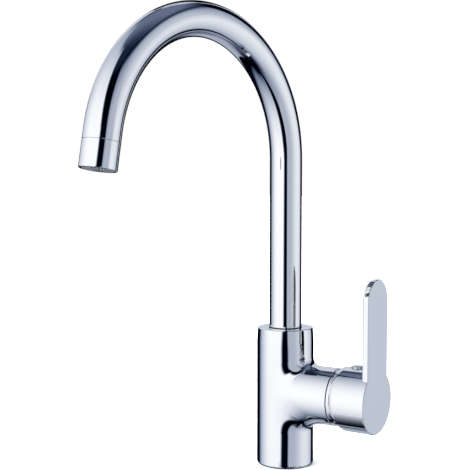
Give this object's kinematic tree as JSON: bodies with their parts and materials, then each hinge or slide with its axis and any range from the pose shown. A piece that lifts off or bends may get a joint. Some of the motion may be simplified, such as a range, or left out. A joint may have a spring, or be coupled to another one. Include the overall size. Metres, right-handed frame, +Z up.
{
  "type": "kitchen faucet",
  "caption": "Chrome single-lever sink mixer: upright post with a side branch and paddle lever, swivelling gooseneck spout with a flush aerator, ceramic disc cartridge and deck stud.",
  "frame": {"origin": "centre of the foot's underside, on the deck", "axes": "+Z up along the post, +X along the branch to the lever, the spout points along -Y, turned 6.18 degrees towards -X at rest as in the picture"},
  "size_m": [0.1179, 0.2419, 0.421],
  "materials": {
    "body_chrome": "polished chrome plate on brass",
    "spout_chrome": "polished chrome plate on brass tube",
    "lever_chrome": "polished chrome plate on zinc casting",
    "cover_chrome": "polished chrome plate on brass",
    "collar_chrome": "polished chrome plate on brass",
    "plug_chrome": "chrome plate on plastic",
    "black_slide": "black acetal",
    "raw_brass": "turned brass",
    "zinc_steel": "zinc-plated steel",
    "stainless": "stainless steel",
    "black_rubber": "nitrile rubber",
    "white_acetal": "white acetal",
    "grey_acetal": "grey acetal",
    "white_ceramic": "lapped alumina"
  },
  "bodies": {
    "base": {"mixer_body": "body_chrome", "base_gasket": "black_rubber", "mounting_stud": "zinc_steel", "rubber_horseshoe_washer": "black_rubber", "steel_horseshoe_washer": "zinc_steel", "deck_nut": "raw_brass", "spout_slide_ring": "black_slide", "spout_retaining_screw": "stainless", "cartridge_base": "grey_acetal", "cartridge_seals": "black_rubber", "fixed_ceramic_disc": "white_ceramic", "cartridge_housing": "white_acetal", "cartridge_lock_nut": "raw_brass", "cover_ring": "cover_chrome"},
    "spout": {"spout_tube": "spout_chrome", "spout_nipple": "raw_brass", "spout_o_rings": "black_rubber", "aerator_collar": "collar_chrome", "aerator_washer": "black_rubber", "aerator_screen": "stainless", "aerator_insert": "white_acetal"},
    "rotor": {"cartridge_rotor": "grey_acetal", "stem_pivot_pin": "stainless"},
    "disc": {"moving_ceramic_disc": "white_ceramic", "disc_carriage": "white_acetal"},
    "lever": {"lever_handle": "lever_chrome", "lever_stem": "stainless", "lever_set_screw": "stainless", "index_plug": "plug_chrome"}
  },
  "joints": [
    {"name": "spout_swivel", "type": "hinge", "parent": "base", "child": "spout", "pos_m": [0, 0, 0.1116], "axis": [0, 0, 1], "continuous": true},
    {"name": "temperature_turn", "type": "hinge", "parent": "base", "child": "rotor", "pos_m": [0.047, 0, 0.0595], "axis": [1, 0, 0], "range_deg": [-50, 50]},
    {"name": "lever_lift", "type": "hinge", "parent": "rotor", "child": "lever", "pos_m": [0.047, 0, 0.0595], "axis": [0, 1, 0], "range_deg": [0, 25]},
    {"name": "disc_slide", "type": "slide", "parent": "rotor", "child": "disc", "axis": [0, 0, 1], "range_m": [0, 0.0043]}
  ],
  "couplings": [
    {"joint": "disc_slide", "follows": "lever_lift", "m_per_rad": 0.009686}
  ]
}
